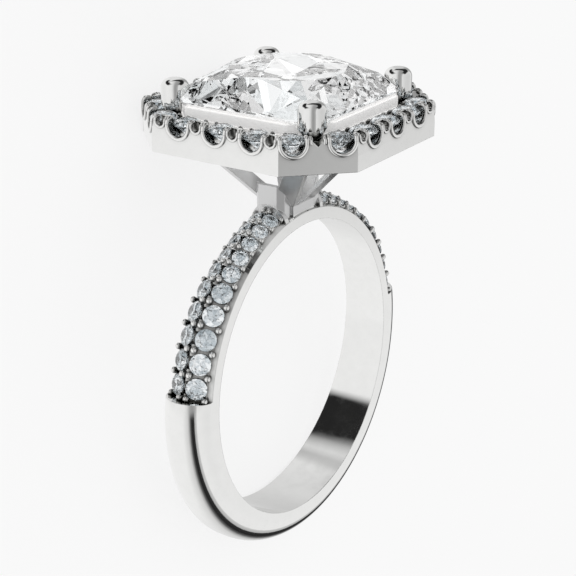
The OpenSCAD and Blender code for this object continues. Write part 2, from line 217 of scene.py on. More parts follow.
# %% Walls of the tent
# The direction across the gap, and the brightness met on the way from one pole to the other: for light
# from below, where the gap is black, for light from the sides, and for light through the stones
GAP_ACROSS = (-0.447, 0.894, 0.0)
LOW_STOPS = [
    (-1.00, 0.85), (-0.75, 0.92), (-0.57, 0.92), (-0.54, 0.62), (-0.43, 0.48), (-0.415, 0.03),
    (-0.24, 0.02), (-0.14, 0.12), (-0.06, 0.42), (0.05, 0.72), (0.40, 0.95), (0.80, 0.98), (1.00, 0.98),
]
SIDE_STOPS = [
    (-1.00, 0.70), (-0.75, 0.78), (-0.60, 0.86), (-0.55, 0.56), (-0.46, 0.44), (-0.30, 0.35),
    (-0.10, 0.40), (0.10, 0.75), (0.30, 0.90), (0.80, 0.95), (1.00, 0.90),
]
STONE_STOPS = [
    (-1.00, 1.0), (-0.57, 1.0), (-0.56, 0.20), (-0.46, 0.30), (-0.45, 1.0),
    (0.14, 1.0), (0.15, 0.14), (0.24, 0.30), (0.25, 1.0), (1.00, 1.0),
]
# How much of the light from below, and of the dark ring, there is at each height
LOW_SHARE = [(-1.00, 1), (-0.34, 1), (-0.28, 0), (1.00, 0)]
RING_SHARE = [(-1.00, 0), (0.56, 0), (0.63, 1), (0.86, 1), (0.91, 0), (1.00, 0)]
# The dark ring ends above the camera, and a light panel breaks it beyond the ring's right side
TO_BACK = (0.833, 0.553, 0.0)
BEHIND_SHARE = [(-1.00, 0), (-0.45, 0), (-0.25, 1), (1.00, 1)]
PANEL_ACROSS = [(-1.00, 0), (-0.15, 0), (0.02, 0.75), (0.12, 0.50), (0.28, 0.95), (1.00, 1)]
PANEL_DEEP = [(-1.00, 0), (0.42, 0), (0.47, 1), (0.56, 1), (0.61, 0), (1.00, 0)]
RING_DARK = 0.02
print("tent stops:", len(LOW_STOPS), len(SIDE_STOPS), len(STONE_STOPS))

# %% [markdown]
# Each wall of the tent is a colour ramp: a ray's direction is measured along one axis of the ring, and
# the ramp says how bright the wall is there. A picture of a studio could do the same, but ramps can be
# read and changed one by one. A cut stone throws light to and fro inside many times before it lets it
# out, and would turn black if the rays gave up early.

# %% Tent
STONE_BOUNCES = 16

world = bpy.data.worlds.new("tent")
world.use_nodes = True
bpy.context.scene.world = world
sky = world.node_tree


def grey_ramp(place, stops):
    """A colour ramp in the world's tree with grey stops on the way from one pole to the other."""
    ramp = sky.nodes.new("ShaderNodeValToRGB")
    sky.links.new(place, ramp.inputs["Fac"])
    elements = ramp.color_ramp.elements
    while len(elements) < len(stops):
        elements.new(0.5)
    for element, (at, bright) in zip(elements, stops):
        element.position = (at + 1) / 2
        element.color = (bright, bright, bright, 1)
    return ramp.outputs["Color"]


def along_axis(axis):
    """How far a direction of the world points along an axis of the ring, as a ramp's position."""
    across = sky.nodes.new("ShaderNodeVectorMath")
    across.operation = "DOT_PRODUCT"
    across.inputs[1].default_value = RING.to_3x3() @ Vector(axis)
    sky.links.new(direction.outputs["Generated"], across.inputs[0])
    place = sky.nodes.new("ShaderNodeMapRange")
    place.inputs["From Min"].default_value = -1
    sky.links.new(across.outputs["Value"], place.inputs["Value"])
    return place.outputs["Result"]


direction = sky.nodes.new("ShaderNodeTexCoord")
gap_place = along_axis(GAP_ACROSS)
high_place = along_axis(HEAD)
across_place = along_axis((1, 0, 0))
deep_place = along_axis((0, 1, 0))

low_share = grey_ramp(high_place, LOW_SHARE)
metal_tent = mixed(sky, low_share, grey_ramp(gap_place, SIDE_STOPS), grey_ramp(gap_place, LOW_STOPS))
panel = mixed(sky, grey_ramp(across_place, PANEL_ACROSS), 0.0, grey_ramp(deep_place, PANEL_DEEP))
behind = grey_ramp(along_axis(TO_BACK), BEHIND_SHARE)
dark_ring = mixed(sky, behind, 0.0, grey_ramp(high_place, RING_SHARE))
dark_ring = mixed(sky, panel, dark_ring, 0.0)
metal_tent = mixed(sky, dark_ring, metal_tent, RING_DARK)

ray = sky.nodes.new("ShaderNodeLightPath")
stone_tent = grey_ramp(gap_place, STONE_STOPS)
seen = mixed(sky, ray.outputs["Is Transmission Ray"], metal_tent, stone_tent)
even = number(sky, "MAXIMUM", ray.outputs["Is Camera Ray"], ray.outputs["Is Diffuse Ray"])
seen = mixed(sky, even, seen, 1.0)
sky.links.new(seen, sky.nodes["Background"].inputs["Color"])
bpy.context.scene.view_settings.view_transform = "Standard"
bpy.context.scene.cycles.glossy_bounces = STONE_BOUNCES
bpy.context.scene.cycles.max_bounces = STONE_BOUNCES
print("tent:", len(sky.nodes), "nodes, up to", STONE_BOUNCES, "bounces")

# %% [markdown]
# A cutter leaves a rounded rim along each scallop of the halo, and the rim's two ends bend in over the
# stone as prongs. They could be modelled once and copied by hand, but Geometry Nodes sweep a circle
# along a small curve and set it on every marked point. This cell holds what all such trees share.

# %% A wire on marked points
PIN_SIDES = 14


def new_tree(name, vectors, numbers):
    """An empty tree with points, vectors, numbers and a metal as its named inputs."""
    tree = bpy.data.node_groups.new(name, "GeometryNodeTree")
    tree.interface.new_socket("Points", in_out="INPUT", socket_type="NodeSocketGeometry")
    for label in vectors:
        tree.interface.new_socket(label, in_out="INPUT", socket_type="NodeSocketVector")
    for label in numbers + ("Radius",):
        tree.interface.new_socket(label, in_out="INPUT", socket_type="NodeSocketFloat")
    tree.interface.new_socket("Metal", in_out="INPUT", socket_type="NodeSocketMaterial")
    tree.interface.new_socket("Piece", in_out="OUTPUT", socket_type="NodeSocketGeometry")
    return tree, tree.nodes.new("NodeGroupInput").outputs


def sweep_on_points(tree, given, spine, width=None):
    """Sweeps a circle along a spine, sets it on the points by their turn and size, and paints it."""
    circle = tree.nodes.new("GeometryNodeCurvePrimitiveCircle")
    circle.inputs["Resolution"].default_value = PIN_SIDES
    tree.links.new(given["Radius"], circle.inputs["Radius"])
    sweep = tree.nodes.new("GeometryNodeCurveToMesh")
    sweep.inputs["Fill Caps"].default_value = True
    tree.links.new(spine, sweep.inputs["Curve"])
    tree.links.new(circle.outputs["Curve"], sweep.inputs["Profile Curve"])
    if width is not None:
        tree.links.new(width, sweep.inputs["Scale"])
    turn = tree.nodes.new("GeometryNodeInputNamedAttribute")
    turn.data_type = "FLOAT_VECTOR"
    turn.inputs["Name"].default_value = "turn"
    rotation = tree.nodes.new("FunctionNodeEulerToRotation")
    tree.links.new(turn.outputs["Attribute"], rotation.inputs["Euler"])
    size = tree.nodes.new("GeometryNodeInputNamedAttribute")
    size.data_type = "FLOAT"
    size.inputs["Name"].default_value = "size"
    copies = tree.nodes.new("GeometryNodeInstanceOnPoints")
    tree.links.new(given["Points"], copies.inputs["Points"])
    tree.links.new(sweep.outputs["Mesh"], copies.inputs["Instance"])
    tree.links.new(rotation.outputs["Rotation"], copies.inputs["Rotation"])
    tree.links.new(size.outputs["Attribute"], copies.inputs["Scale"])
    real = tree.nodes.new("GeometryNodeRealizeInstances")
    smooth = tree.nodes.new("GeometryNodeSetShadeSmooth")
    painted = tree.nodes.new("GeometryNodeSetMaterial")
    result = tree.nodes.new("NodeGroupOutput")
    tree.links.new(copies.outputs["Instances"], real.inputs["Geometry"])
    tree.links.new(real.outputs["Geometry"], smooth.inputs["Geometry"])
    tree.links.new(smooth.outputs["Geometry"], painted.inputs["Geometry"])
    tree.links.new(given["Metal"], painted.inputs["Material"])
    tree.links.new(painted.outputs["Geometry"], result.inputs["Piece"])
    return tree


print("sides of a wire:", PIN_SIDES)

# %% [markdown]
# One tree makes the rims' round part from half a circle. A second one makes bent pins: the prongs, the
# inner prongs and the beads. A pin's curve starts at its foot, is drawn towards its bend and ends at its
# tip, and its last stretch narrows as a ball does.

# %% Pins and rims
PIN_STEPS = 18
# A little more than 1, so that a pin's tip doesn't close to a point
TIP_FULL = 1.001


def pin_tree():
    """A bent pin on each point, whose last share narrows to a rounded tip."""
    tree, given = new_tree("pins", ("Foot", "Bend", "Tip"), ("Rounded Share",))
    spine = tree.nodes.new("GeometryNodeCurveQuadraticBezier")
    spine.inputs["Resolution"].default_value = PIN_STEPS
    for socket, label in (("Start", "Foot"), ("Middle", "Bend"), ("End", "Tip")):
        tree.links.new(given[label], spine.inputs[socket])
    along = tree.nodes.new("GeometryNodeSplineParameter")
    from_tip = number(tree, "SUBTRACT", 1, along.outputs["Factor"])
    share = number(tree, "DIVIDE", from_tip, given["Rounded Share"], clamp=True)
    rest = number(tree, "SUBTRACT", 1, share)
    left = number(tree, "SUBTRACT", TIP_FULL, number(tree, "MULTIPLY", rest, rest))
    return sweep_on_points(tree, given, spine.outputs["Curve"], number(tree, "SQRT", left))


def rim_tree():
    """The lower half of a round rim on each point, in the plane of its local x and y."""
    tree, given = new_tree("rims", (), ("Round",))
    arc = tree.nodes.new("GeometryNodeCurveArc")
    arc.inputs["Resolution"].default_value = 2 * PIN_STEPS
    arc.inputs["Start Angle"].default_value = math.pi
    arc.inputs["Sweep Angle"].default_value = math.pi
    tree.links.new(given["Round"], arc.inputs["Radius"])
    return sweep_on_points(tree, given, arc.outputs["Curve"])


PINS = pin_tree()
RIMS = rim_tree()
print("trees:", PINS.name, len(PINS.nodes), "nodes,", RIMS.name, len(RIMS.nodes), "nodes")

# %% [markdown]
# A tree runs on a small cloud of points, one for each pin or rim, that knows how each of them is turned
# and how large it is. The result is kept as a plain mesh, which is what the ring can be shown with
# anywhere, and it rides on the ring's only body.

# %% A piece made by a tree
def grown(name, points, tree, values):
    """Runs a tree on marked points and keeps the result as a plain mesh that rides on the ring."""
    mesh = bpy.data.meshes.new(name)
    mesh.from_pydata([p["place"] for p in points], [], [])
    mesh.attributes.new("turn", "FLOAT_VECTOR", "POINT")
    mesh.attributes.new("size", "FLOAT", "POINT")
    for i, p in enumerate(points):
        mesh.attributes["turn"].data[i].vector = p["turn"].to_euler()
        mesh.attributes["size"].data[i].value = p["size"]
    seed = bpy.data.objects.new(name + "_points", mesh)
    bpy.context.scene.collection.objects.link(seed)
    modifier = seed.modifiers.new("grow", "NODES")
    modifier.node_group = tree
    for item in tree.interface.items_tree:
        if item.item_type == "SOCKET" and item.in_out == "INPUT" and item.name in values:
            modifier[item.identifier] = values[item.name]
    bpy.context.view_layer.update()
    done = seed.evaluated_get(bpy.context.evaluated_depsgraph_get())
    plain = bpy.data.meshes.new_from_object(done)
    plain.name = name
    seed.modifiers.remove(modifier)
    bpy.data.objects.remove(seed)
    piece = bpy.data.objects.new(name, plain)
    bpy.context.scene.collection.objects.link(piece)
    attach(piece, "root")
    print(name, len(points), "points,", len(plain.polygons), "faces")


def stand(place, out, up, size=1.0):
    """A marked point in the ring's directions: its local x points out and its local z points up."""
    up = up.normalized()
    side = up.cross(out).normalized()
    turn = RING.to_3x3() @ Matrix((side.cross(up), side, up)).transposed()
    return {"place": RING @ (place * MM), "turn": turn, "size": size}


def pins(name, points, foot, bend, tip, radius, rounded):
    """Pins on points: foot, bend and tip are places out of the wall, along it and up, in millimetres."""
    grown(name, points, PINS, {
        "Foot": Vector(foot) * MM, "Bend": Vector(bend) * MM, "Tip": Vector(tip) * MM,
        "Radius": radius * MM, "Rounded Share": rounded, "Metal": pin_paint,
    })


def rims(name, points, middle, radius):
    """Half rims on points, by the radius of their middle line and of their wire, in millimetres."""
    grown(name, points, RIMS, {"Round": middle * MM, "Radius": radius * MM, "Metal": pin_paint})


print("kinds of piece:", grown.__name__, pins.__name__, rims.__name__)

# %% [markdown]
# The finish is the ring's main look. Its effects are groups of nodes with named inputs and outputs, so
# that the ring and the small pins can use each of them with values of their own.

# %% Groups of nodes
def shader_group(name, inputs, outputs):
    """An empty shader group with named inputs and outputs."""
    group = bpy.data.node_groups.new(name, "ShaderNodeTree")
    for label, kind, value in inputs:
        socket = group.interface.new_socket(label, in_out="INPUT", socket_type=kind)
        socket.default_value = value
    for label, kind in outputs:
        group.interface.new_socket(label, in_out="OUTPUT", socket_type=kind)
    return group, group.nodes.new("NodeGroupInput").outputs, group.nodes.new("NodeGroupOutput").inputs


def use_group(material, group, values=()):
    """Puts a shader group into a material and sets its named inputs."""
    node = material.node_tree.nodes.new("ShaderNodeGroup")
    node.node_tree = group
    for name, value in dict(values).items():
        node.inputs[name].default_value = value
    return node


print("helpers:", shader_group.__name__, use_group.__name__)

# %% [markdown]
# A real polish varies a little from place to place. The narrowest corners get painted shade: their colour
# turns dark where shade falls. Such corners could be painted by hand, but the shader can find them: it
# feels how open each place is within the width of a crevice.

# %% Polish and painted shade
EFFECT_SAMPLES = 8
# How cloudy the polish is, and the range of its clouds that shows
CLOUD_DETAIL = 4
CLOUDS = (0.35, 0.65)
# Width of a crevice in the metal and round the pins, the tone of its painted shade, and how open a place is
# where the painted shade is full and where it ends
CREVICE = 0.26
PIN_CREVICE = 1.0
PAINTED_SHADE_TONE = (0.06, 0.06, 0.055, 1)
OPENNESS = (0.42, 0.97)


def polish_and_shade_group():
    """Slightly cloudy polish, and painted shade where surfaces come close to each other."""
    group, given, made = shader_group(
        "polish",
        [("Size", "NodeSocketFloat", 0.6), ("Smooth", "NodeSocketFloat", 0.03),
         ("Worn", "NodeSocketFloat", 0.09), ("Light", "NodeSocketColor", (0.88, 0.88, 0.87, 1)),
         ("Dark", "NodeSocketColor", (0.82, 0.82, 0.81, 1)),
         ("Crevice", "NodeSocketFloat", CREVICE * MM), ("Painted Shade", "NodeSocketColor", PAINTED_SHADE_TONE)],
        [("Roughness", "NodeSocketFloat"), ("Tone", "NodeSocketColor")],
    )
    where = group.nodes.new("ShaderNodeTexCoord")
    clouds = group.nodes.new("ShaderNodeTexNoise")
    clouds.inputs["Detail"].default_value = CLOUD_DETAIL
    group.links.new(where.outputs["Object"], clouds.inputs["Vector"])
    group.links.new(number(group, "DIVIDE", 1 / MM, given["Size"]), clouds.inputs["Scale"])
    rough = group.nodes.new("ShaderNodeMapRange")
    rough.inputs["From Min"].default_value, rough.inputs["From Max"].default_value = CLOUDS
    group.links.new(clouds.outputs["Fac"], rough.inputs["Value"])
    group.links.new(given["Smooth"], rough.inputs["To Min"])
    group.links.new(given["Worn"], rough.inputs["To Max"])
    # Painted shade: the colour turns to the dark painted-shade tone where the metal is closed in within the
    # crevice's width
    near = group.nodes.new("ShaderNodeAmbientOcclusion")
    near.samples = EFFECT_SAMPLES
    group.links.new(given["Crevice"], near.inputs["Distance"])
    unshaded = group.nodes.new("ShaderNodeMapRange")
    unshaded.inputs["From Min"].default_value, unshaded.inputs["From Max"].default_value = OPENNESS
    group.links.new(near.outputs["AO"], unshaded.inputs["Value"])
    tone = mixed(group, clouds.outputs["Fac"], given["Light"], given["Dark"])
    group.links.new(mixed(group, unshaded.outputs["Result"], given["Painted Shade"], tone), made["Tone"])
    group.links.new(rough.outputs["Result"], made["Roughness"])
    return group


POLISH_AND_SHADE = polish_and_shade_group()
print("effect:", POLISH_AND_SHADE.name)

# %% [markdown]
# Cast metal keeps tiny roundings on all its edges, and each of them catches a line of light or dark. They
# could be cut into the mesh, but the solids stay as they are, so the shader rounds the edges in its
# normal. The buff leaves very faint lines, which go into the same normal.

# %% Soft edges
EDGE_ROUNDING = 0.045
SCRATCH_LINES = 4
SCRATCH_DETAIL = 2
SCRATCH_DEPTH = 0.002


def soft_edge_group():
    """Rounded edges with faint polishing lines, as a normal."""
    group, given, made = shader_group(
        "soft edges",
        [("Radius", "NodeSocketFloat", EDGE_ROUNDING * MM), ("Lines", "NodeSocketFloat", 0.02)],
        [("Normal", "NodeSocketVector")],
    )
    where = group.nodes.new("ShaderNodeTexCoord")
    lines = group.nodes.new("ShaderNodeTexNoise")
    lines.inputs["Scale"].default_value = SCRATCH_LINES / MM
    lines.inputs["Detail"].default_value = SCRATCH_DETAIL
    group.links.new(where.outputs["Object"], lines.inputs["Vector"])
    edge = group.nodes.new("ShaderNodeBevel")
    edge.samples = EFFECT_SAMPLES
    group.links.new(given["Radius"], edge.inputs["Radius"])
    bump = group.nodes.new("ShaderNodeBump")
    bump.inputs["Distance"].default_value = SCRATCH_DEPTH * MM
    group.links.new(given["Lines"], bump.inputs["Strength"])
    group.links.new(lines.outputs["Fac"], bump.inputs["Height"])
    group.links.new(edge.outputs["Normal"], bump.inputs["Normal"])
    group.links.new(bump.outputs["Normal"], made["Normal"])
    return group


SOFT_EDGES = soft_edge_group()
print("effect:", SOFT_EDGES.name)

# %% [markdown]
# Under the head and behind the stones, where no buff reaches, the metal keeps a softer satin, and the
# metal's material paints shade into the basket and a glow onto the wall there. The solid has no seams
# there, so this group finds the hollows by their place in the ring's directions: inside the basket, which
# spreads towards the head, and on the wall under the centre stone.

# %% Hollows
# The basket from its foot to its top, in millimetres, and how it spreads above its waist
BASKET_FOOT = 8.97
BASKET_WAIST = 9.7
BASKET_HALF = 1.96
BASKET_SPREAD = 0.8
BASKET_TOP = 13.95
# Inside of the halo's wall: how far it reaches along the finger, and the sum of x and y at its corners
APRON_HALF = 6.2
APRON_CORNER = 9.9
# The same of the wall under the centre stone, on all four sides, and the height of its top
GALLERY_HALF = 4.86
GALLERY_CORNER = 7.95
GALLERY_TOP = 15.24


def within(group, share, limits):
    """Keeps a share of 1 only where every limit holds."""
    for test, value, edge in limits:
        share = number(group, "MULTIPLY", share, number(group, test, value, edge))
    return share


def hollow_group():
    """Where no buff reaches, and where painted shade and a painted glow go: 1 inside the basket, under the
    head and on the wall behind the stones.
    """
    group, given, made = shader_group(
        "hollows",
        [("Turn", "NodeSocketVector", (math.pi / 2 - lean, 0, 0))],
        [("Basket", "NodeSocketFloat"), ("Wall", "NodeSocketFloat")],
    )
    where = group.nodes.new("ShaderNodeTexCoord")
    turned = group.nodes.new("ShaderNodeMapping")
    turned.inputs["Scale"].default_value = (1 / MM, 1 / MM, 1 / MM)
    group.links.new(where.outputs["Object"], turned.inputs["Vector"])
    group.links.new(given["Turn"], turned.inputs["Rotation"])
    split = group.nodes.new("ShaderNodeSeparateXYZ")
    group.links.new(turned.outputs["Vector"], split.inputs["Vector"])
    across = number(group, "ABSOLUTE", split.outputs["X"])
    finger = number(group, "ABSOLUTE", split.outputs["Y"])
    height = split.outputs["Z"]
    above = number(group, "MAXIMUM", number(group, "SUBTRACT", height, BASKET_WAIST), 0)
    reach = number(group, "ADD", number(group, "MULTIPLY", above, BASKET_SPREAD), BASKET_HALF)
    half = number(group, "MAXIMUM", across, finger)
    corner = number(group, "ADD", across, finger)
    basket = within(group, number(group, "LESS_THAN", across, reach), (
        ("GREATER_THAN", height, BASKET_FOOT), ("LESS_THAN", height, BASKET_TOP),
        ("LESS_THAN", finger, APRON_HALF), ("LESS_THAN", corner, APRON_CORNER),
    ))
    wall = within(group, number(group, "LESS_THAN", half, GALLERY_HALF), (
        ("LESS_THAN", corner, GALLERY_CORNER),
        ("GREATER_THAN", height, BASKET_TOP), ("LESS_THAN", height, GALLERY_TOP),
    ))
    group.links.new(basket, made["Basket"])
    group.links.new(wall, made["Wall"])
    return group


HOLLOWS = hollow_group()
print("effect:", HOLLOWS.name)

# %% [markdown]
# The ring is one metal in three states: polished outside, satin with a darker painted shade in the basket,
# and the wall under the centre stone, which is nearly white and has a faint painted glow for the light of
# the stones around it. Painting them as three pieces would need cuts in the solid, so one material mixes
# them by where a point lies. Seen through the stones, the hollows get a bright painted glow, standing in
# for light that in real life comes back many times.

# %% Polished metal
BASKET_PAINTED_SHADE = (0.64, 0.64, 0.64, 1)
SATIN_ROUGH = 0.30
WALL_TONE = (0.90, 0.89, 0.88, 1)
WALL_ROUGH = 0.5
WALL_METAL = 0.15
SEAT_PAINTED_GLOW = 0.9
WALL_PAINTED_GLOW = 0.22


def metal_finish(name, edge_radius, crevice):
    """The ring's metal, with its own width of rounded edges and of the crevices that get painted shade, in
    millimetres.
    """
    material, shader = new_material(name)
    polish = use_group(material, POLISH_AND_SHADE, {"Crevice": crevice * MM})
    edges = use_group(material, SOFT_EDGES, {"Radius": edge_radius * MM})
    hollows = use_group(material, HOLLOWS)
    basket = hollows.outputs["Basket"]
    wall = hollows.outputs["Wall"]
    tree = material.node_tree
    # Painted shade: the basket under the head gets a darker colour; its satin roughness is real
    tone = mixed(tree, basket, polish.outputs["Tone"], BASKET_PAINTED_SHADE)
    rough = mixed(tree, basket, polish.outputs["Roughness"], SATIN_ROUGH)
    tree.links.new(mixed(tree, wall, tone, WALL_TONE), shader.inputs["Base Color"])
    tree.links.new(mixed(tree, wall, rough, WALL_ROUGH), shader.inputs["Roughness"])
    tree.links.new(mixed(tree, wall, 1.0, WALL_METAL), shader.inputs["Metallic"])
    tree.links.new(edges.outputs["Normal"], shader.inputs["Normal"])
    # Painted glow: the wall under the centre stone glows faintly to every ray, and the basket and that wall
    # glow brightly to rays that come through the stones, standing in for light that comes back many times
    ray = tree.nodes.new("ShaderNodeLightPath")
    hollow = number(tree, "MAXIMUM", basket, wall)
    seen = number(tree, "MULTIPLY", ray.outputs["Is Transmission Ray"], hollow)
    painted_glow = mixed(tree, wall, 0.0, WALL_PAINTED_GLOW)
    tree.links.new(mixed(tree, seen, painted_glow, SEAT_PAINTED_GLOW), shader.inputs["Emission Color"])
    shader.inputs["Emission Strength"].default_value = 1.0
    return material


metal_paint = metal_finish("polished_metal", EDGE_ROUNDING, CREVICE)
# The pins' painted shade reaches a whole millimetre, so it darkens their rims beside the wall
pin_paint = metal_finish("polished_pins", EDGE_ROUNDING / 3, PIN_CREVICE)
nodes["metal"].data.materials.clear()
nodes["metal"].data.materials.append(metal_paint)
print("metals:", metal_paint.name, "and", pin_paint.name)

# %% [markdown]
# The halo's stones stand in a closed path round the head. Between every two of them the wall ends in a
# pair of prongs on the outside, and a second, lower pair holds them from the inside. The stones' own
# places give the path, so nothing has to be measured twice.

# %% Places of the halo stones
# Height of a round stone above its widest line, as a share of its radius
CROWN_SHARE = 0.32


def ring_corners(node):
    """Corners of a solid's mesh in the ring's directions, in millimetres."""
    turn = TO_RING @ node.matrix_world
    return [turn @ v.co / MM for v in node.data.vertices]


def halo_place(node):
    """Centre of a halo stone on its widest line."""
    corners = ring_corners(node)
    low = Vector([min(c[i] for c in corners) for i in range(3)])
    high = Vector([max(c[i] for c in corners) for i in range(3)])
    radius = (high.x - low.x) / 2
    return Vector(((low.x + high.x) / 2, (low.y + high.y) / 2, high.z - CROWN_SHARE * radius))


halo_path = [halo_place(node) for name, node in nodes.items() if name.startswith("halo_stone")]
halo_path.sort(key=lambda p: math.atan2(p.y, p.x))
print("halo stones:", len(halo_path), "widest line at", round(halo_path[0].z, 2), "mm")

# %% [markdown]
# The halo's wall has a scallop in front of each stone and, on the long sides, a smaller notch between two
# scallops. They are already cut into the solid. Their places follow from the stones, a little further
# apart than these, on a wall that leans in above its foot.

# %% Scallops of the halo
STONE_INSET = 0.76
SCALLOP_SPREAD = 1.05
WALL_LEAN = math.radians(4)
WALL_FOOT = 0.74
EIGHTH = math.radians(45)
NEARLY = 0.1


def wall_out(angle):
    """The direction out of the halo's wall at an angle."""
    return Vector((math.cos(angle), math.sin(angle), 0))


def wall_spot(angle, along_by, out_by):
    """A place on the halo's wall at an angle, with the directions out of, along and up the wall."""
    out = wall_out(angle)
    along = HEAD.cross(out)
    up = HEAD * math.cos(WALL_LEAN) - out * math.sin(WALL_LEAN)
    reach = out_by - WALL_FOOT * math.tan(WALL_LEAN)
    return out * reach + along * along_by + HEAD * halo_path[0].z, out, along, up


def notch_steps(shift):
    """Notches beside a stone in steps along its side: two at the middle one, one outside the others."""
    return (-0.5, 0.5) if abs(shift) < NEARLY else (math.copysign(0.5, shift),)


scallops = []
long_sides = []
for stone in halo_path:
    angle = EIGHTH * round(math.atan2(stone.y, stone.x) / EIGHTH)
    out = wall_out(angle)
    shift = stone.xy.to_3d() @ HEAD.cross(out)
    reach = stone @ out + STONE_INSET
    scallops.append(wall_spot(angle, shift * SCALLOP_SPREAD, reach))
    if min(abs(out.x), abs(out.y)) < NEARLY:
        long_sides.append((angle, shift, reach))
side_pitch = max(abs(shift) for angle, shift, reach in long_sides)
notches = [wall_spot(angle, (shift + step * side_pitch) * SCALLOP_SPREAD, reach)
           for angle, shift, reach in long_sides for step in notch_steps(shift)]
print("scallops:", len(scallops), "notches:", len(notches))

# %% [markdown]
# The setter pushes the metal between two stones up and over them. What is left is a bright round rim along
# each scallop and notch whose two ends bend in over the stones. A rim is half a ring of round wire, and
# each of its ends is a bent pin that starts where the wire stops.

# %% Rims and prongs
RIM_ROUND = 0.66
RIM_RADIUS = 0.11
NOTCH_ROUND = 0.30
NOTCH_RADIUS = 0.075
NOTCH_RISE = 0.10


def rim_points(spots, rise=0.0):
    """Marked points for the round part of each rim."""
    points = []
    for at, out, along, up in spots:
        turn = RING.to_3x3() @ Matrix((along, up, out)).transposed()
        points.append({"place": RING @ ((at + HEAD * rise) * MM), "turn": turn, "size": 1.0})
    return points


def rim_ends(spots, half, rise=0.0):
    """Marked points for the two pins that end each rim."""
    return [stand(at + HEAD * rise + along * side * half, out, up)
            for at, out, along, up in spots for side in (-1, 1)]


rims("halo_rims", rim_points(scallops), RIM_ROUND, RIM_RADIUS)
pins("halo_prongs", rim_ends(scallops, RIM_ROUND), foot=(0, 0, 0), bend=(0, 0, 0.36),
     tip=(-0.40, 0, 0.24), radius=RIM_RADIUS, rounded=0.16)
rims("notch_rims", rim_points(notches, NOTCH_RISE), NOTCH_ROUND, NOTCH_RADIUS)
pins("notch_prongs", rim_ends(notches, NOTCH_ROUND, NOTCH_RISE), foot=(0, 0, 0), bend=(0, 0, 0.24),
     tip=(-0.34, 0, 0.16), radius=NOTCH_RADIUS, rounded=0.2)

# %% [markdown]
# A V is sawn into the middle of each cut corner, under a claw. The metal on both sides of it stands up as
# two small prongs. They start inside the wall, bow out and bend in again over the stones.

# %% Prongs beside the V of each cut corner
VEE_APART = 0.72


def vee_points():
    """Marked points on both sides of the middle of each cut corner."""
    points = []
    for angle in (EIGHTH, 3 * EIGHTH, 5 * EIGHTH, 7 * EIGHTH):
        out = wall_out(angle)
        corner = [spot for spot, way, along, up in scallops if way.angle(out) < NEARLY]
        middle = sum(corner, Vector()) / len(corner)
        for side in (-1, 1):
            points.append(stand(middle + HEAD.cross(out) * side * VEE_APART / 2, out, HEAD))
    return points


pins("vee_prongs", vee_points(), foot=(-0.20, 0, -0.14), bend=(0.14, 0, 0.04),
     tip=(-0.30, 0, 0.27), radius=0.115, rounded=0.3)

# %% [markdown]
# Inside the halo, two short prongs at each joint hold the stones from the other side. They hardly show
# from the front, but without them the stones would look loose from above.

# %% Inner prongs
INNER_APART = 0.66
INNER_IN = 0.62


def inner_points(path):
    """A pair of marked points inside each middle between two neighbouring stones."""
    points = []
    for a, b in zip(path, path[1:] + path[:1]):
        along = (b - a).normalized()
        out = along.cross(HEAD).normalized()
        for side in (-1, 1):
            at = (a + b) / 2 - out * INNER_IN + along * side * INNER_APART / 2
            points.append(stand(at, out, HEAD))
    return points


pins("inner_prongs", inner_points(halo_path), foot=(0, 0, -0.20), bend=(0, 0, 0.10),
     tip=(0.20, 0, 0.14), radius=0.1, rounded=0.3)

# %% [markdown]
# Two rows of ten stones run down each shoulder. They lean away from each other and shrink towards the
# head. All stones of a shoulder are one node, so its mesh is parted into loose bodies first, and each of
# them gives the place, the size and the lean of its stone.

# %% Places of the shoulder stones
ROW_TILT = math.radians(27)
WELD = 0.001


def loose_parts(node):
    """The separate stones of a node, each as a list of corners in the ring's directions."""
    mesh = bmesh.new()
    mesh.from_mesh(node.data)
    bmesh.ops.remove_doubles(mesh, verts=mesh.verts, dist=WELD * MM)
    turn = TO_RING @ node.matrix_world
    left = set(mesh.verts)
    parts = []
    while left:
        part = [left.pop()]
        for vert in part:
            for edge in vert.link_edges:
                other = edge.other_vert(vert)
                if other in left:
                    left.remove(other)
                    part.append(other)
        parts.append([turn @ v.co / MM for v in part])
    mesh.free()
    return parts


def shoulder_place(corners):
    """Centre, size and own directions of one stone, whose row leans away from the ring's middle."""
    middle = sum(corners, Vector()) / len(corners)
    angle = math.atan2(middle.x, middle.z)
    side = Vector((0, math.copysign(1, middle.y), 0))
    out = Vector((math.sin(angle), 0, math.cos(angle)))
    along = Vector((math.cos(angle), 0, -math.sin(angle)))
    up = out * math.cos(ROW_TILT) + side * math.sin(ROW_TILT)
    away = side * math.cos(ROW_TILT) - out * math.sin(ROW_TILT)

    def reach(way):
        spans = [c @ way for c in corners]
        return min(spans), max(spans)

    start, end = reach(along)
    d = end - start
    centre = up * (reach(up)[1] - CROWN_SHARE * d / 2)
    centre = centre + away * sum(reach(away)) / 2 + along * (start + end) / 2
    return {"angle": angle, "centre": centre, "up": up, "away": away, "along": along, "d": d}


shoulder_rows = []
for name in ("shoulder_stones_left", "shoulder_stones_right"):
    stones = [shoulder_place(part) for part in loose_parts(nodes[name])]
    for side in (-1, 1):
        row = [s for s in stones if s["away"].y * side > 0]
        shoulder_rows.append(sorted(row, key=lambda s: abs(s["angle"])))
print("rows:", [len(row) for row in shoulder_rows], "last stone", round(shoulder_rows[0][-1]["d"], 2), "mm")

# %% [markdown]
# Round beads raised from the bed hold these stones: one beside each joint at the outer edge of a row and
# a pair in the middle between the rows. A bead is a short upright pin with a round top, so the tree of
# the prongs makes it too, and each one takes its size from the stones beside it.

# %% Shoulder beads
# Places and size of a bead as shares of its stones, and the stone that the bead is drawn for
BEAD_AWAY = 0.42
END_STEP = 0.5
BEAD_SHARE = 0.15
BEAD_REFERENCE = 1.1


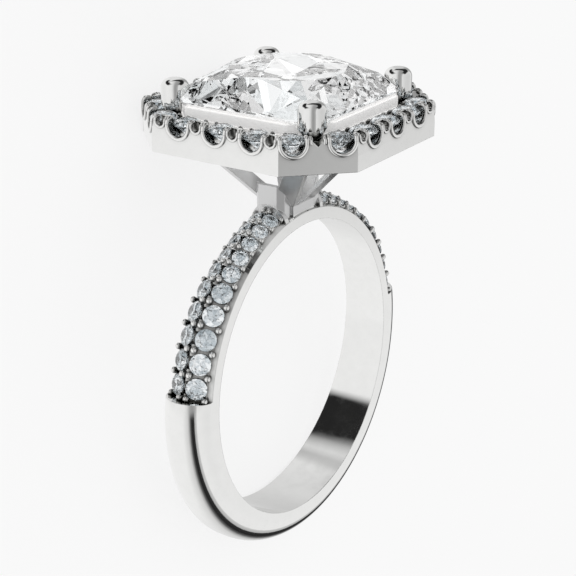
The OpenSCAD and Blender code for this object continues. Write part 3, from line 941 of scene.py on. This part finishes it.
def bead_points(row):
    """Beads on both sides of one row, at each joint and at both ends."""
    points = []
    ends = [row[0]] + row + [row[-1]]
    for i, (a, b) in enumerate(zip(ends, ends[1:])):
        d = (a["d"] + b["d"]) / 2
        middle = (a["centre"] + b["centre"]) / 2
        if a is b:
            towards = math.copysign(1, a["angle"]) * (-1 if i == 0 else 1)
            middle = middle + a["along"] * towards * END_STEP * d
        for side in (-1, 1):
            at = middle + a["away"] * side * BEAD_AWAY * d
            points.append(stand(at, a["away"], a["up"], d / BEAD_REFERENCE))
    return points


pins("shoulder_beads", [p for row in shoulder_rows for p in bead_points(row)],
     foot=(0, 0, -0.15), bend=(0, 0, 0.05), tip=(0, 0, 0.24),
     radius=BEAD_SHARE * BEAD_REFERENCE, rounded=0.42)

# %% [markdown]
# A cut stone is a block from which flat planes take material away, so the centre stone is made just so:
# each tier of the cut is a slope, the directions in which it is ground, and a point it passes through.
# The solid keeps the stone's outline, and this finer cut gives its light the real number of facets.

# %% Centre stone
STONE_HALF = 4.6
STONE_CORNER = 5.657
CUT_TIERS = [
    {"tier": "edge", "slope": 90, "turns": (0,), "reach": STONE_HALF, "height": 0},
    {"tier": "edge corners", "slope": 90, "turns": (45,), "reach": STONE_CORNER, "height": 0},
    {"tier": "crown", "slope": 44.5, "turns": (0,), "reach": STONE_HALF, "height": 0.14},
    {"tier": "crown corners", "slope": 38.7, "turns": (45,), "reach": STONE_CORNER, "height": 0.14},
    {"tier": "upper crown", "slope": 36.5, "turns": (-8, 8), "reach": 3.92, "height": 0.81},
    {"tier": "upper corners", "slope": 31.1, "turns": (35, 55), "reach": 4.84, "height": 0.81},
    {"tier": "stars", "slope": 20, "turns": (-26, 26), "reach": 3.3, "height": 1.28},
    {"tier": "pavilion", "slope": -51, "turns": (0,), "reach": STONE_HALF, "height": 0},
    {"tier": "pavilion corners", "slope": -50, "turns": (45,), "reach": STONE_CORNER, "height": 0},
    {"tier": "middle pavilion", "slope": -42, "turns": (-6, 6), "reach": 3.30, "height": -1.6},
    {"tier": "middle corners", "slope": -43, "turns": (36, 54), "reach": 4.40, "height": -1.6},
    {"tier": "lower pavilion", "slope": -35, "turns": (-15, 15), "reach": 1.76, "height": -3.0},
]
TABLE_HEIGHT = 1.38
POINT_DEPTH = 4.0
STONE_LEVEL = 15.22
# How exactly a plane cuts, and how near corners are made one, in millimetres
CUT_EXACT = 1e-5
CUT_WELD = 1e-4


def cut_stone(name):
    """Cuts a block by every plane of the tiers, four times round, and by the table."""
    planes = [(Vector((0, 0, 1)), TABLE_HEIGHT), (Vector((0, 0, -1)), POINT_DEPTH)]
    for tier in CUT_TIERS:
        slope = math.radians(abs(tier["slope"]))
        for turn in tier["turns"]:
            for quarter in range(4):
                around = math.radians(turn + 90 * quarter)
                level = Vector((math.cos(around), math.sin(around), 0))
                normal = level * math.sin(slope) + HEAD * math.copysign(math.cos(slope), tier["slope"])
                planes.append((normal, normal @ (level * tier["reach"] + HEAD * tier["height"])))
    stone = bmesh.new()
    bmesh.ops.create_cube(stone, size=4 * STONE_HALF)
    for normal, reach in planes:
        geometry = stone.verts[:] + stone.edges[:] + stone.faces[:]
        cut = bmesh.ops.bisect_plane(stone, geom=geometry, dist=CUT_EXACT, plane_co=normal * reach,
                                     plane_no=normal, clear_outer=True)
        rim = [part for part in cut["geom_cut"] if isinstance(part, bmesh.types.BMEdge)]
        if len(rim) > 2:
            bmesh.ops.contextual_create(stone, geom=rim)
    bmesh.ops.remove_doubles(stone, verts=stone.verts, dist=CUT_WELD)
    bmesh.ops.recalc_face_normals(stone, faces=stone.faces)
    stone.transform(RING @ Matrix.Scale(MM, 4) @ Matrix.Translation((0, 0, STONE_LEVEL)))
    mesh = bpy.data.meshes.new(name)
    stone.to_mesh(mesh)
    stone.free()
    piece = bpy.data.objects.new(name, mesh)
    bpy.context.scene.collection.objects.link(piece)
    return piece


cut_centre = cut_stone("cut_centre_stone")
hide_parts("centre_stone")
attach(cut_centre, "root")
print("centre stone:", len(cut_centre.data.polygons), "facets")

# %% [markdown]
# Clear stones live from facets that differ sharply. Each facet gets its own faint tone from its direction
# alone, a painted reflection, so neighbours separate crisply, as they do where a real stone sends the light
# elsewhere.

# %% Stones
FACET_STEP = 0.05
STONE_INDEX = 2.42


def painted_facet_group():
    """A painted reflection tone for each facet, light or dark, drawn from its direction."""
    group, given, made = shader_group(
        "painted facet reflection",
        [("Light", "NodeSocketColor", (1, 1, 1, 1)), ("Dark", "NodeSocketColor", (0.8, 0.85, 0.9, 1)),
         ("Dark Share", "NodeSocketFloat", 0.4)],
        [("Tone", "NodeSocketColor")],
    )
    surface = group.nodes.new("ShaderNodeNewGeometry")
    steps = group.nodes.new("ShaderNodeVectorMath")
    steps.operation = "SNAP"
    steps.inputs[1].default_value = (FACET_STEP, FACET_STEP, FACET_STEP)
    group.links.new(surface.outputs["True Normal"], steps.inputs[0])
    chance = group.nodes.new("ShaderNodeTexWhiteNoise")
    group.links.new(steps.outputs["Vector"], chance.inputs["Vector"])
    share = number(group, "LESS_THAN", chance.outputs["Value"], given["Dark Share"])
    group.links.new(mixed(group, share, given["Light"], given["Dark"]), made["Tone"])
    return group


PAINTED_FACET_REFLECTION = painted_facet_group()


def stone_finish(name, light, dark, share):
    """Clear stone whose facets have a painted light or, by a share of them, a painted darker reflection
    tone.
    """
    material, shader = new_material(name)
    tone = use_group(material, PAINTED_FACET_REFLECTION, {"Light": light, "Dark": dark, "Dark Share": share})
    material.node_tree.links.new(tone.outputs["Tone"], shader.inputs["Base Color"])
    shader.inputs["Roughness"].default_value = 0.0
    shader.inputs["IOR"].default_value = STONE_INDEX
    shader.inputs["Transmission Weight"].default_value = 1.0
    return material


# Both stones get painted reflections in their facets; the small ones' dark facets are much darker
centre_paint = stone_finish("centre_stone", (1, 1, 1, 1), (0.86, 0.89, 0.90, 1), 0.3)
small_paint = stone_finish("small_stones", (0.93, 0.96, 0.98, 1), (0.42, 0.48, 0.52, 1), 0.5)
cut_centre.data.materials.append(centre_paint)
for name, node in nodes.items():
    if name != "metal":
        node.data.materials.clear()
        node.data.materials.append(centre_paint if name == "centre_stone" else small_paint)
print("stones:", len(nodes) - 1, "pieces")
